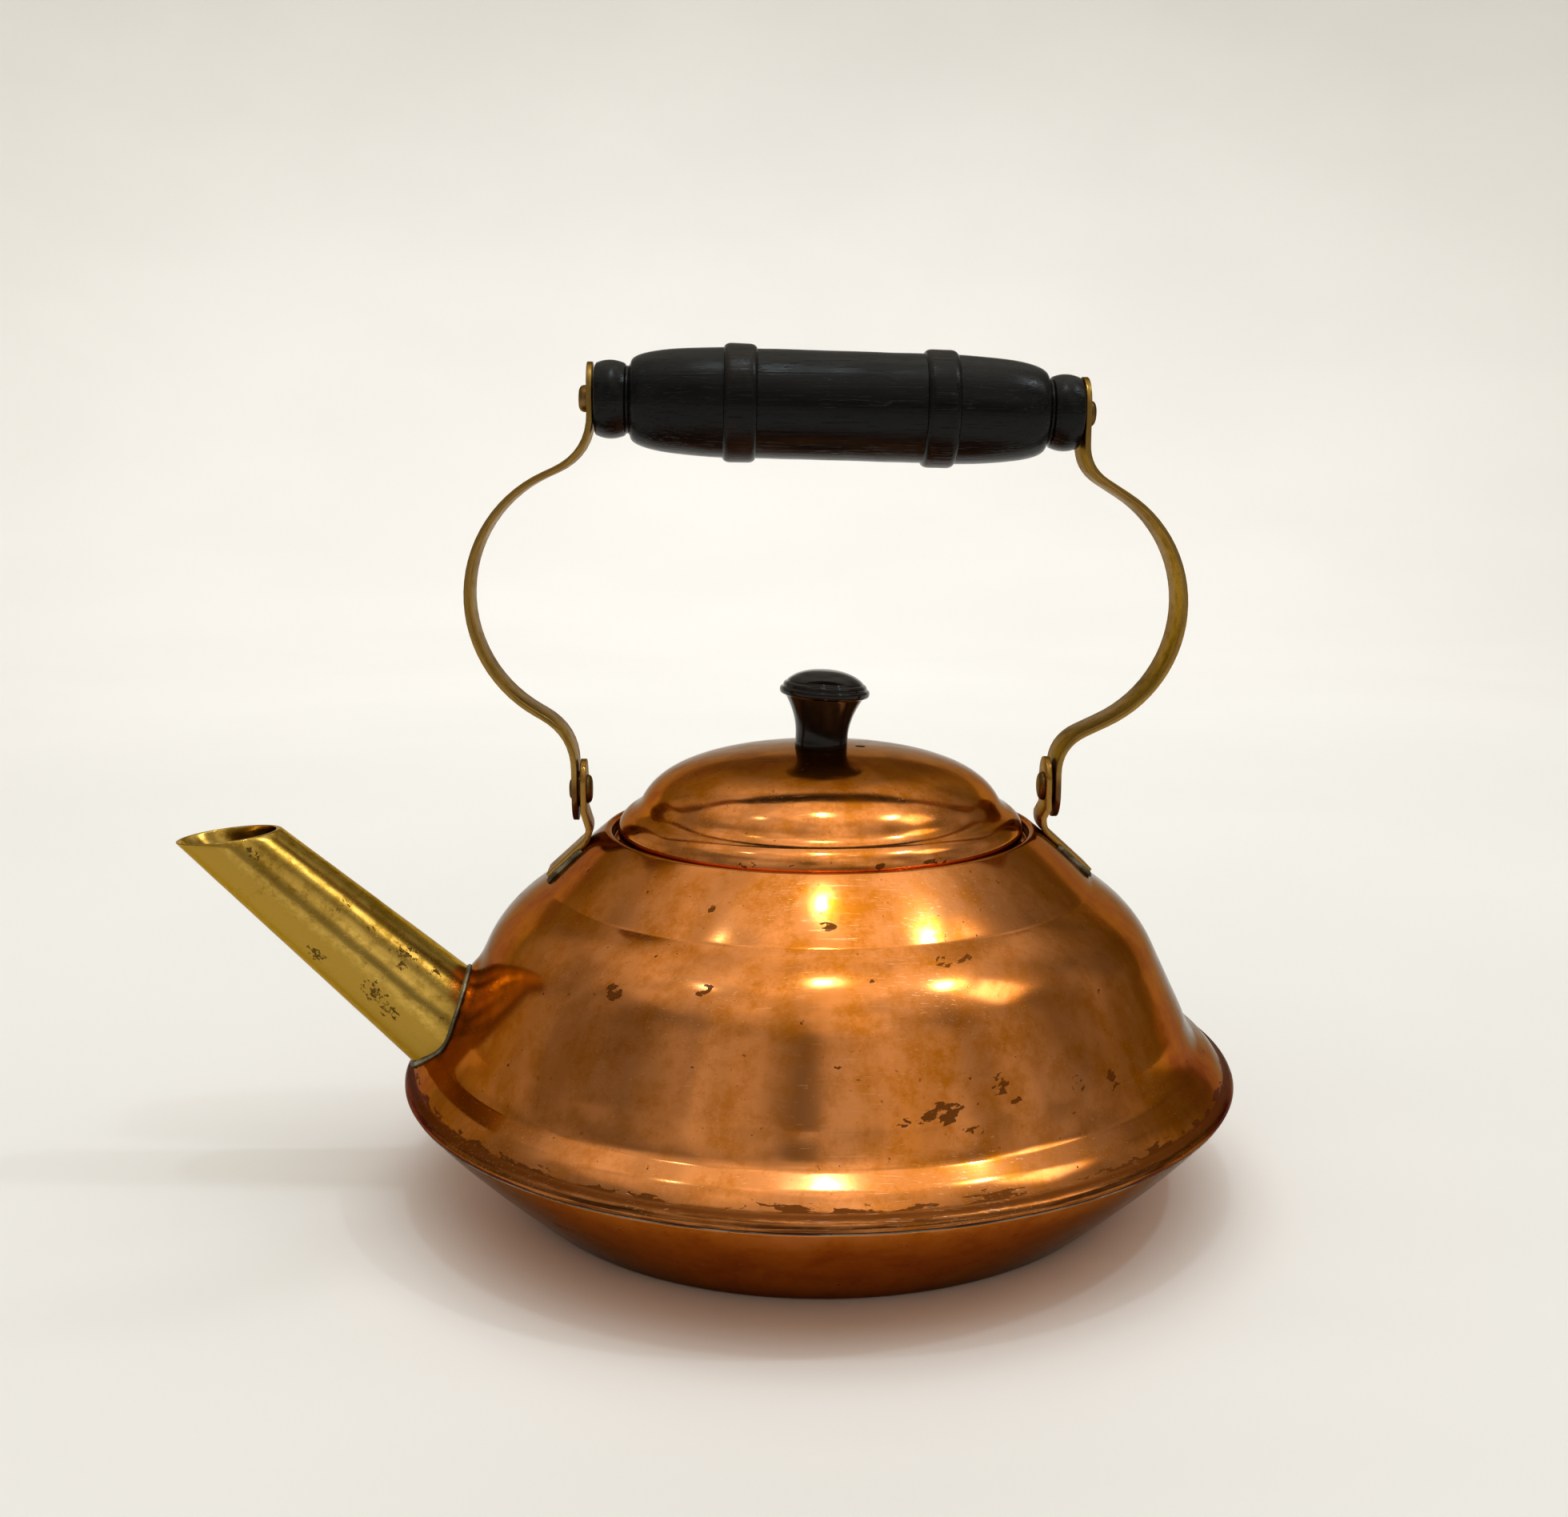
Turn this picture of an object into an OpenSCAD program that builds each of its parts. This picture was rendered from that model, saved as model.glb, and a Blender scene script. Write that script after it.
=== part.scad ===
// Stovetop tea kettle: copper body and lid, brass spout, and a strap bail with a turned grip.
// Millimetres, +Z up. The origin is the centre of the flat base. The spout points along -X and
// the bail swings about a line parallel to X.

/* [Body] */
// Radius of the flat base
base_r = 70; // [60:1:74]
// Radius of the rolled rim, the widest part of the body
rim_r = 96.7; // [94:0.1:100]
// Height of the seam between the pan and the upper shell
seam_z = 26.4; // [24:0.1:28]
// Radius of the step where the neck rises from the shoulder
step_r = 63.2; // [62:0.1:65]
// Height of that step
step_z = 71.3; // [70:0.1:73]
// Thickness of the copper sheet
sheet_t = 0.9; // [0.7:0.1:1.1]

/* [Neck and lid] */
// Radius of the opening in the neck
mouth_r = 44.6; // [43:0.1:45]
// Height of the seat that the lid rests on
seat_z = 80.8; // [80:0.1:81.2]
// Depth of the turned-down edge of the neck
neck_d = 6; // [4:0.5:8]
// Largest radius of the lid, at its beaded edge
lid_r = 47; // [46.5:0.1:47.4]
// Height of the top of the lid
lid_top = 101.9; // [98:0.1:106]
// Radius of the steam hole
vent_r = 1.2; // [0.8:0.1:1.6]
// Distance of the steam hole from the axis
vent_x = 9.2; // [8.6:0.1:14]
// Depth that the lid's collar reaches below the seat
collar_d = 11; // [8:1:14]

/* [Knob] */
// Radius of the knob's cap
knob_r = 10.4; // [9.5:0.1:12]
// Radius of the knob's foot
knob_foot_r = 6.1; // [5.5:0.1:7]
// Height of the knob
knob_h = 17.5; // [15:0.1:20]
// Radius of the knob screw
screw_r = 1.6; // [1.5:0.1:2]

/* [Spout] */
// Distance from the body's axis to the spout's reference point, on the wall
spout_x = 85.4; // [84:0.1:87]
// Height of the spout's reference point
spout_z = 38.2; // [38:0.1:39]
// Rise of the spout above level, in degrees
spout_rise = 43.4; // [42:0.1:45]
// Turn of the spout away from the bail's line, in degrees
spout_turn = 4.5; // [0:0.5:8]
// Outer radius of the spout at its reference point
spout_r = 12.4; // [12:0.1:12.6]
// Loss of radius for each millimetre along the spout
spout_taper = 0.056; // [0.04:0.001:0.07]
// Distance from the body's axis to the lip of the spout's mouth
lip_x = 144.7; // [140:0.1:150]
// Height of that lip
lip_z = 83.2; // [82:0.1:85]
// Slope of the mouth, in degrees, rising towards the body
mouth_slope = 5.7; // [0:0.1:10]

/* [Bail] */
// Height of the hinge line
hinge_z = 92.2; // [91:0.1:93]
// Distance from the body's axis to the middle of a strap at its rivet
strap_x = 55.7; // [55.2:0.1:56.5]
// Width of the straps
strap_w = 12.5; // [10:0.5:13]
// Thickness of the straps
strap_t = 1.3; // [1:0.1:1.6]
// Height of the grip's axis above the hinge line
grip_rise = 87.1; // [85:0.1:90]
// Sideways lean of the bail at the grip, from years of use
lean = 3.8; // [0:0.1:6]
// Tilt of the grip that came with the lean, in degrees
grip_tilt = 1.3; // [0:0.1:2]
// Width of the lugs
lug_w = 10; // [8:0.5:11]
// Thickness of the lugs
lug_t = 1.4; // [1.2:0.1:1.6]

/* [Grip] */
// Length of the grip
grip_l = 109.2; // [107:0.1:109.4]
// Radius of the grip's barrel
grip_r = 12.1; // [11:0.1:13]
// Radius of the two rings round the grip
ring_r = 13.1; // [12.5:0.1:14]
// Distance from the middle of the grip to the middle of each ring
ring_x = 22.4; // [20:0.1:26]
// Width of each ring
ring_w = 7.4; // [5:0.1:9]
// Radius of the bead at each end of the grip
bead_r = 8.8; // [8.2:0.1:9.5]
// Radius of the rod through the grip
rod_r = 2; // [1.8:0.1:2.5]

/* [Hidden] */
$fn = 96;

gap = 0.3;                    // clearance between the lid and the neck
run = 0.06;                   // radial clearance of a pin in a moving piece
left = -1;                    // side of the spout
right = 1;

lid_t = 0.8;                  // thickness of the lid's sheet
lid_flat = 7;                 // radius of the flat under the knob
crease = [42.4, seat_z + 7.5];  // where the lid's dome meets its bead
collar_t = 0.7;
washer_r = 4.5;
washer_t = 0.8;
screw_head_r = 3.4;
screw_head_h = 2;
screw_depth = 9;              // how far the screw reaches into the knob

rivet_r = 1.7;
rivet_head_r = 3.35;          // head on the inside of the lug
rivet_head_h = 1.2;
rivet_end_r = 2.3;            // peened end, outside the strap
rivet_end_h = 0.8;
spacer_r = 4.2;
spacer_t = 0.4;
side_play = 0.1;              // play of a strap between its spacer and the peened end
strap_in = strap_x - strap_t / 2;
strap_out = strap_x + strap_t / 2;
lug_out = strap_in - side_play - spacer_t;
lug_x = lug_out - lug_t / 2;  // middle of the lug's upright part
lug_top = hinge_z + 7;

tab_x = 55.5;                 // middle of a strap where it holds the rod
tab_top = hinge_z + grip_rise + 8.1;
strap_low = hinge_z - 7.2;
hinge_shift = -0.9;           // the lugs were soldered on this far off centre
// Each strap's bow, a little different after years of use: its centre, its radius, where it
// ends above and below in degrees from level, and how far its upper and lower bends reach
bow_left = [[49.5, hinge_z + 44.3], 30.1, 65.5, -59.8, 9, 8.2];
bow_right = [[53.3, hinge_z + 42.4], 29.6, 58.3, -65, 5.5, 6.6];
head_r = 3;                   // peened ends of the rod
head_h = 1.9;
head_gap = 0.1;

recess_r = 48.2;              // wall of the recess that the lid sits in
lip_r = 1.15;                 // rounding of the lip round it
lip_c = [recess_r + lip_r, seat_z + 1.6];  // centre of that rounding
lip_from = atan2(step_z - lip_c[1], step_r - lip_c[0])   // direction away from the neck's slope
    + acos(lip_r / norm([step_r, step_z] - lip_c));
wall_top = [77.6, 57];        // the straight wall runs between these two
wall_low = [84.7, 42];
rim_crease = [94.3, 29.4];    // top edge of the rolled rim
skirt = [89.2, 34.15];        // the flared skirt bends up into the wall here
spout_sheet = 0.9;
spout_in = 6;                 // how far the tube is drawn inside its reference point
solder_w = 1.5;               // width of the solder round the spout's root
solder_h = 0.8;               // how far it stands off the wall

// ---- Paths and sheets ----

// Points of a smooth curve from a to c that starts and ends towards b
function curve(a, b, c, n) =
    [for (i = [0:n]) let (t = i / n) (1 - t) * (1 - t) * a + 2 * t * (1 - t) * b + t * t * c];

// Points of an arc round c, from angle a0 to a1
function arc(c, r, a0, a1, n) =
    [for (i = [0:n]) let (a = a0 + (a1 - a0) * i / n) c + r * [cos(a), sin(a)]];

// Unit vector to the left of the way from a to b
function left_of(a, b) = let (d = (b - a) / norm(b - a)) [-d[1], d[0]];

// A path moved to its left by d
function moved(path, d) =
    [for (i = [0:len(path) - 1])
        let (before = left_of(path[max(i, 1) - 1], path[max(i, 1)]),
             j = min(i, len(path) - 2),
             after = left_of(path[j], path[j + 1]),
             m = before + after)
        path[i] + 2 * d / (m * m) * m];

function reversed(path) = [for (i = [len(path) - 1:-1:0]) path[i]];

// Outline of a sheet of thickness t that lies to the left of its path
module sheet(path, t) {
    polygon(concat(path, reversed(moved(path, t))));
}

// Outline of a strip of thickness t with the path along its middle
module strip(path, t) {
    polygon(concat(moved(path, t / 2), reversed(moved(path, -t / 2))));
}

// An outline drawn in X and Z, made w deep across Y
module across_y(w) {
    rotate([90, 0, 0]) linear_extrude(w, center = true) children();
}

// An outline drawn in Y and Z, made long along X
module along_x(l) {
    rotate([90, 0, 90]) linear_extrude(l, center = true) children();
}

// A pin along X from x0 to x1
module pin_x(r, x0, x1) {
    translate([x0, 0, 0]) rotate([0, 90, 0]) cylinder(r = r, h = x1 - x0);
}

// ---- Body ----

// Outside of the wall, from the rim's crease up to the step
wall_path = concat(
    curve(rim_crease, [91.6, 31.75], skirt, 3),
    curve(skirt + [-0.15, 0.15], [87.9, 35.45], wall_low, 6),
    curve(wall_top, [73.4, 65.8], [step_r, step_z], 9));

// Outside of the neck, from above the step over the lip to the seat and down the opening
neck_path = concat(
    arc(lip_c, lip_r, lip_from, 180, 6),
    [[recess_r, seat_z], [mouth_r + 0.8, seat_z]],
    [[mouth_r, seat_z - 0.8], [mouth_r, seat_z - neck_d]]);

// The wall with a straight drop below its crease, for cutting pieces to the wall
fill_path = concat([[rim_crease[0], rim_crease[1] - 12]], wall_path);

rim_path = [[rim_r - 2.2, seam_z], [rim_r - 0.5, seam_z], [rim_r, seam_z + 0.9],
            [rim_r - 0.4, seam_z + 1.8], [rim_r - 1.2, seam_z + 2.5]];

shell_path = concat(rim_path, wall_path, neck_path);

pan_path = concat(
    [[0, 0], [base_r - 1, 0]],
    curve([base_r, 0.1], [88.4, 16.6], [rim_r - 1, seam_z - 0.5], 12),
    [[rim_r - 1.1, seam_z]]);

// The spout's own frame: its axis along Z, its reference point at the origin
module spout_frame() {
    rotate([0, 0, spout_turn])
        translate([-spout_x, 0, spout_z])
            rotate([0, spout_rise - 90, 0])
                children();
}

// Solid cone of the spout, grown by g
module spout_cone(g) {
    length = 90;
    low_r = spout_r + spout_taper * spout_in + g;
    translate([0, 0, -spout_in])
        cylinder(r1 = low_r, r2 = low_r - spout_taper * length, h = length);
}

// Everything above the spout's sloping mouth
module above_mouth() {
    rotate([0, 0, spout_turn])
        translate([-lip_x, 0, lip_z])
            rotate([0, -mouth_slope, 0])
                translate([-20, -30, 0]) cube([90, 60, 50]);
}

// Solid of revolution inside a path, moved inwards by d
module filled(path, d) {
    edge = moved(path, d);
    rotate_extrude()
        polygon(concat([[0, edge[0][1]]], edge, [[0, edge[len(edge) - 1][1]]]));
}

module upper_shell() {
    color("peru") difference() {
        rotate_extrude() sheet(shell_path, sheet_t);
        spout_frame() spout_cone(0);
    }
}

module base_pan() {
    inner = moved(pan_path, sheet_t);
    last = len(inner) - 1;
    color("peru") rotate_extrude()
        polygon(concat(pan_path, [[inner[last][0], seam_z]],
                       [for (i = [last - 1:-1:1]) inner[i]], [[0, sheet_t]]));
}

module seam_solder() {
    color("silver") rotate_extrude()
        polygon([[rim_r - 1.1, seam_z], [rim_r - 1, seam_z - 0.5], [rim_r - 0.7, seam_z - 0.35],
                 [rim_r - 0.6, seam_z]]);
}

// ---- Spout ----

module spout_tube() {
    color("goldenrod") difference() {
        spout_frame() spout_cone(0);
        spout_frame() translate([0, 0, -1]) spout_cone(-spout_sheet);
        above_mouth();
        filled(fill_path, sheet_t);
    }
}

module spout_solder() {
    color("silver") difference() {
        intersection() {
            spout_frame() spout_cone(solder_w);
            filled(fill_path, -solder_h);
            rotate([0, 0, spout_turn]) translate([-110, -20, rim_crease[1] + 0.2]) cube([40, 40, 30]);
        }
        filled(fill_path, 0);
        spout_frame() spout_cone(0);
    }
}

// ---- Lid ----

dome_path = concat(
    [[lid_r - 1.2, seat_z + gap], [lid_r - 0.2, seat_z + gap + 0.4], [lid_r, seat_z + gap + 1.3]],
    curve([lid_r, seat_z + gap + 2.1], [lid_r - 0.1, crease[1] - 1.7], crease + [0.6, -0.1], 7),
    curve(crease + [-0.4, 0.5], [37.5, lid_top - 1.1], [lid_flat, lid_top], 14));

module lid_dome() {
    inner = moved(dome_path, lid_t);
    color("peru") difference() {
        rotate_extrude()
            polygon(concat(dome_path, [[screw_r, lid_top], [screw_r, lid_top - lid_t]], reversed(inner)));
        translate([vent_x, 0, lid_top - 5]) cylinder(r = vent_r, h = 10, $fn = 32);
    }
}

module lid_collar() {
    r = mouth_r - gap;
    color("tan") rotate_extrude()
        translate([r - collar_t, seat_z - collar_d]) square([collar_t, collar_d + 5]);
}

knob_z = lid_top;

module knob() {
    cap = knob_z + knob_h;
    color("black") rotate_extrude()
        polygon(concat(
            [[screw_r, knob_z], [knob_foot_r, knob_z]],
            curve([knob_foot_r, knob_z + 0.6], [knob_foot_r - 0.4, knob_z + 6], [9, cap - 6.2], 8),
            curve([9.3, cap - 6], [knob_r, cap - 5.9], [knob_r, cap - 5.1], 4),
            curve([knob_r, cap - 4.8], [knob_r, cap - 4.2], [knob_r - 0.7, cap - 4.1], 3),
            curve([knob_r - 0.7, cap - 3.8], [knob_r - 0.8, cap - 3.1], [knob_r - 1.6, cap - 2.9], 3),
            curve([knob_r - 1.7, cap - 2.6], [knob_r - 4.5, cap], [0, cap], 8),
            [[0, knob_z + screw_depth], [screw_r, knob_z + screw_depth]]));
}

module knob_washer() {
    color("gold") translate([0, 0, lid_top - lid_t - washer_t]) difference() {
        cylinder(r = washer_r, h = washer_t);
        translate([0, 0, -1]) cylinder(r = screw_r, h = washer_t + 2, $fn = 48);
    }
}

module knob_screw() {
    z = lid_top - lid_t - washer_t;
    color("silver") difference() {
        union() {
            translate([0, 0, z - screw_head_h]) cylinder(r = screw_head_r, h = screw_head_h);
            translate([0, 0, z]) cylinder(r = screw_r, h = lid_t + washer_t + screw_depth, $fn = 48);
        }
        translate([-5, -0.5, z - screw_head_h - 1]) cube([10, 1, 1.9]);
    }
}

// ---- Lugs and hinge ----

neck_dir = [cos(lip_from - 90), sin(lip_from - 90)];     // down the neck
neck_out = [-neck_dir[1], neck_dir[0]];          // away from it

// A point on the neck's slope, s above the step and h off the surface
function on_neck(s, h) = [step_r, step_z] - s * neck_dir + h * neck_out;

foot_h = lug_t / 2 + 0.15;     // height of the foot's middle above the neck
foot_in = 1.3;                 // how far a lug leans in below the rivet

// Middle of a lug, from its top down to its foot on the neck
function lug_path(side) =
    let (x = lug_x + side * hinge_shift,
         foot_top = on_neck((step_r - x + foot_in) / neck_dir[0] + 0.9, foot_h))
    concat(
        [[x, lug_top], [x, hinge_z - 4.6]],
        curve([x - 0.85 * foot_in, foot_top[1] + 2.4], [x - foot_in, foot_top[1]],
              foot_top + 2 * neck_dir, 5),
        [on_neck(1, foot_h)]);

module lug(side) {
    color("goldenrod") difference() {
        intersection() {
            mirror([side == left ? 1 : 0, 0, 0]) across_y(lug_w) strip(lug_path(side), lug_t);
            along_x(160) union() {
                translate([-lug_w / 2, 60]) square([lug_w, lug_top - lug_w / 2 - 60]);
                translate([0, lug_top - lug_w / 2]) circle(r = lug_w / 2);
            }
        }
        translate([hinge_shift, 0, hinge_z]) mirror([side == left ? 1 : 0, 0, 0])
            pin_x(rivet_r, lug_x - 2, lug_x + 2, $fn = 48);
    }
}

module lug_solder(side) {
    pad = [on_neck(0.2, -1), on_neck(0.2, 0.5), on_neck(1, 0.9),
           on_neck(10.2, 0.9), on_neck(11, 0.5), on_neck(11, -1)];
    color("silver") difference() {
        mirror([side == left ? 1 : 0, 0, 0]) across_y(lug_w + 2.4) polygon(pad);
        filled(concat(wall_path, [neck_path[0]]), 0, $fn = 360);
        mirror([side == left ? 1 : 0, 0, 0]) across_y(lug_w) strip(lug_path(side), lug_t);
    }
}

// Solid of the rivet, drawn on the right and mirrored to the left
module pivot_rivet(side) {
    color("goldenrod") translate([hinge_shift, 0, hinge_z]) mirror([side == left ? 1 : 0, 0, 0])
        rotate([0, 90, 0]) rotate_extrude()
            polygon(concat(
                [[0, lug_x - lug_t / 2 - rivet_head_h]],
                curve([1.6, lug_x - lug_t / 2 - rivet_head_h],
                      [rivet_head_r, lug_x - lug_t / 2 - rivet_head_h],
                      [rivet_head_r, lug_x - lug_t / 2], 5),
                [[rivet_r, lug_x - lug_t / 2], [rivet_r, strap_out + side_play],
                 [rivet_end_r, strap_out + side_play]],
                curve([rivet_end_r, strap_out + side_play + 0.2],
                      [rivet_end_r, strap_out + side_play + rivet_end_h],
                      [1, strap_out + side_play + rivet_end_h], 4),
                [[0, strap_out + side_play + rivet_end_h]]));
}

module pivot_washer(side) {
    color("goldenrod") translate([hinge_shift, 0, hinge_z]) mirror([side == left ? 1 : 0, 0, 0])
        difference() {
            pin_x(spacer_r, lug_out, lug_out + spacer_t);
            pin_x(rivet_r, lug_out - 1, lug_out + spacer_t + 1, $fn = 48);
        }
}

// ---- Bail ----

// Middle of a strap, from the tab at the rod down to the rivet, as [distance from the axis, height]
function strap_path(side) =
    let (bow = side == left ? bow_left : bow_right,
         c = bow[0], r = bow[1], upper = bow[2], lower = bow[3],
         x_tab = tab_x + side * lean,
         x_rivet = strap_x + side * hinge_shift,
         top_dir = [sin(upper), -cos(upper)],          // down and out, into the bow
         low_dir = [sin(lower), -cos(lower)],          // down and in, out of the bow
         bow_top = c + r * [cos(upper), sin(upper)],
         bow_low = c + r * [cos(lower), sin(lower)],
         upper_corner = bow_top - top_dir * (bow_top[0] - x_tab) / top_dir[0],
         lower_corner = bow_low + low_dir * (bow_low[0] - x_rivet) / -low_dir[0])
    concat(
        [[x_tab, tab_end(side)]],
        curve(upper_corner + [0, bow[4]], upper_corner, upper_corner + bow[4] * top_dir, 8),
        arc(c, r, upper, lower, 28),
        curve(lower_corner - bow[5] * low_dir, lower_corner, lower_corner - [0, bow[5]], 8),
        [[x_rivet, strap_low]]);

// Height of a strap's upper end
function tab_end(side) = tab_top - side * tab_x * tan(grip_tilt);

// Frame with X along the grip's axis and its origin at the grip's middle
module grip_frame() {
    translate([lean, 0, hinge_z + grip_rise]) rotate([0, grip_tilt, 0]) children();
}

module strap(side) {
    tab = tab_end(side);
    color("goldenrod") difference() {
        intersection() {
            mirror([side == left ? 1 : 0, 0, 0]) across_y(strap_w) strip(strap_path(side), strap_t);
            along_x(200) union() {
                translate([0, tab - strap_w / 2]) circle(r = strap_w / 2);
                translate([-strap_w / 2, strap_low + strap_w / 2])
                    square([strap_w, tab - strap_low - strap_w]);
                translate([0, strap_low + strap_w / 2]) circle(r = strap_w / 2);
            }
        }
        translate([hinge_shift, 0, hinge_z]) mirror([side == left ? 1 : 0, 0, 0])
            pin_x(rivet_r + run, strap_x - 3, strap_x + 3, $fn = 48);
        grip_frame() mirror([side == left ? 1 : 0, 0, 0])
            pin_x(rod_r, tab_x - 4, tab_x + 4, $fn = 48);
    }
}

module grip_rod() {
    end = tab_x + strap_t / 2 + head_gap;
    half = concat(
        [[0, end + head_h]],
        curve([head_r - 1.6, end + head_h], [head_r, end + head_h], [head_r, end + 0.4], 5),
        [[head_r, end], [rod_r, end]]);
    color("darkgoldenrod") grip_frame() rotate([0, 90, 0]) rotate_extrude()
        polygon(concat(half, [for (p = reversed(half)) [p[0], -p[1]]]));
}

module grip() {
    end = grip_l / 2;
    bead_in = end - 7;           // inner edge of the end bead
    half = concat(
        [[rod_r + run, end], [bead_r - 1.4, end]],
        curve([bead_r - 0.9, end - 0.3], [bead_r + 0.5, end - 3.5], [bead_r - 0.9, bead_in + 0.3], 8),
        [[bead_r - 1.4, bead_in], [bead_r - 1.4, bead_in - 0.5]],
        curve([bead_r - 0.6, bead_in - 0.9], [11.6, bead_in - 1.2],
              [grip_r, ring_x + ring_w / 2], 12),
        curve([ring_r - 0.9, ring_x + ring_w / 2], [ring_r - 0.1, ring_x + ring_w / 2 - 0.3],
              [ring_r, ring_x + ring_w / 2 - 1.6], 3),
        curve([ring_r, ring_x - ring_w / 2 + 1.6], [ring_r - 0.1, ring_x - ring_w / 2 + 0.3],
              [ring_r - 0.9, ring_x - ring_w / 2], 3),
        [[grip_r, ring_x - ring_w / 2]]);
    color("#1c1a19") grip_frame() rotate([0, 90, 0]) rotate_extrude()
        polygon(concat(half, [for (p = reversed(half)) [p[0], -p[1]]]));
}

upper_shell();
base_pan();
seam_solder();
spout_tube();
spout_solder();
lid_dome();
lid_collar();
knob();
knob_screw();
knob_washer();
lug(left);  // lug_left
lug(right);  // lug_right
lug_solder(left);  // lug_solder_left
lug_solder(right);  // lug_solder_right
pivot_rivet(left);  // pivot_rivet_left
pivot_rivet(right);  // pivot_rivet_right
pivot_washer(left);  // pivot_washer_left
pivot_washer(right);  // pivot_washer_right
strap(left);  // strap_left
strap(right);  // strap_right
grip_rod();
grip();
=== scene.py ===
"""Looks of a copper tea kettle: smooth pieces, procedural materials, studio light and camera.

Lengths in the shape functions are millimetres in the kettle's own frame. They become metres
where a mesh is made. Lengths in the materials and the studio are metres.
"""
from math import acos, atan2, cos, exp, hypot, pi, radians, sin, tan

import bmesh
import bpy
from mathutils import Matrix, Vector, noise


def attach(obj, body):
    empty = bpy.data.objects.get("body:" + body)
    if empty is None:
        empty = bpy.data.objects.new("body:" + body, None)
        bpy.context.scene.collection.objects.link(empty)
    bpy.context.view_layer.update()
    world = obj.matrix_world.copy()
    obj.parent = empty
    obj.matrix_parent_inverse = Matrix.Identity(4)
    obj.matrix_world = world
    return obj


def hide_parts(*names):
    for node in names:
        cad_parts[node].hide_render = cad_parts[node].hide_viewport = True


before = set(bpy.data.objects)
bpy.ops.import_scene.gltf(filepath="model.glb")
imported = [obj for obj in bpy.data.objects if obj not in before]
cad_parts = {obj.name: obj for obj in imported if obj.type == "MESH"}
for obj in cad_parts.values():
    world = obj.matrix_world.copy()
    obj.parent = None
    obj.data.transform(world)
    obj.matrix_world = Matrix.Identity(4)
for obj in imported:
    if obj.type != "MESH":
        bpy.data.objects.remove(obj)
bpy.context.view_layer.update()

MM = 0.001
BODY_SIDES, LID_SIDES, KNOB_SIDES, GRIP_SIDES, SPOUT_SIDES, BEAD_SIDES = 256, 192, 128, 144, 128, 160
CRISP = 38                         # degrees: an edge that turns more than this stays crisp
NEARLY_STRAIGHT = radians(168)

# ---- Sizes, as in the CAD source ----

BASE_R, RIM_R, SEAM_Z = 70, 96.7, 26.4
STEP_R, STEP_Z, SHEET = 63.2, 71.3, 0.9
RIM_CREASE = (94.3, 29.4)
WALL_LOW, WALL_TOP = (84.7, 42), (77.6, 57)
MOUTH_R, SEAT_Z, NECK_D = 44.6, 80.8, 6
RECESS_R, LIP_R, LIP_Z0 = 48.2, 1.15, 82.4   # recess for the lid, and the lip round it
LID_R, LID_TOP, LID_T, LID_GAP = 47, 101.9, 0.8, 0.3
CREASE = (42.4, SEAT_Z + 7.5)
VENT_X, VENT_R = 9.2, 1.2
KNOB_R, KNOB_FOOT, KNOB_H, SCREW_R = 10.4, 6.1, 17.5, 1.6
SPOUT_X, SPOUT_Z, SPOUT_RISE, SPOUT_TURN = 85.4, 38.2, radians(43.4), radians(4.5)
SPOUT_R, TAPER, TUBE_T = 12.4, 0.056, 0.9
LIP_X, LIP_Z, MOUTH_SLOPE = 144.7, 83.2, radians(5.7)
HINGE_Z, GRIP_RISE, LEAN, GRIP_TILT = 92.2, 87.1, 3.8, radians(1.3)
GRIP_L, GRIP_R, RING_R, RING_X, RING_W, BEAD_R, ROD_R = 109.2, 12.1, 13.1, 22.4, 7.4, 8.8, 2.06

# Only the knob seen here leans. Its foot is let into the lid, which keeps it closed all round.
KNOB_LEAN, KNOB_SUNK = radians(3.6), 0.78


def by_spout(x, y, z):
    """A vector drawn for a spout that points along -X, turned to where this one points."""
    return Matrix.Rotation(SPOUT_TURN, 3, "Z") @ Vector((x, y, z))


SPOUT_AXIS = by_spout(-cos(SPOUT_RISE), 0, sin(SPOUT_RISE))
SPOUT_SIDE = by_spout(sin(SPOUT_RISE), 0, cos(SPOUT_RISE))
SPOUT_ACROSS = by_spout(0, 1, 0)
SPOUT_AT = by_spout(-SPOUT_X, 0, SPOUT_Z)
WALL_OUT = by_spout(-0.82, 0, 0.57).normalized()      # out of the wall where the spout joins it


# ---- Paths ----

def curve(a, b, c, n):
    """Points of a smooth curve from a to c that starts and ends towards b."""
    steps = [i / n for i in range(n + 1)]
    return [tuple((1 - t) ** 2 * p + 2 * t * (1 - t) * q + t * t * r for p, q, r in zip(a, b, c))
            for t in steps]


def rounded(path, radius, n=4):
    """The path with each sharp corner replaced by a small curve."""
    out = [path[0]]
    for before, here, after in zip(path, path[1:], path[2:]):
        u = Vector(before) - Vector(here)
        v = Vector(after) - Vector(here)
        if u.length < 1e-6 or v.length < 1e-6:
            continue
        if u.angle(v) > NEARLY_STRAIGHT:
            out.append(here)
            continue
        cut = min(radius, 0.45 * u.length, 0.45 * v.length)
        start = Vector(here) + u.normalized() * cut
        end = Vector(here) + v.normalized() * cut
        out += curve(tuple(start), here, tuple(end), n)
    return out + [path[-1]]


def eased(before, corner, after, reach):
    """Two paths joined by a soft curve round the corner where they meet."""
    def clear(path):
        return [p for p in path if hypot(p[0] - corner[0], p[1] - corner[1]) > reach]
    before, after = clear(before), clear(after)
    return before + curve(before[-1], corner, after[0], 12)[1:-1] + after


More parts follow.
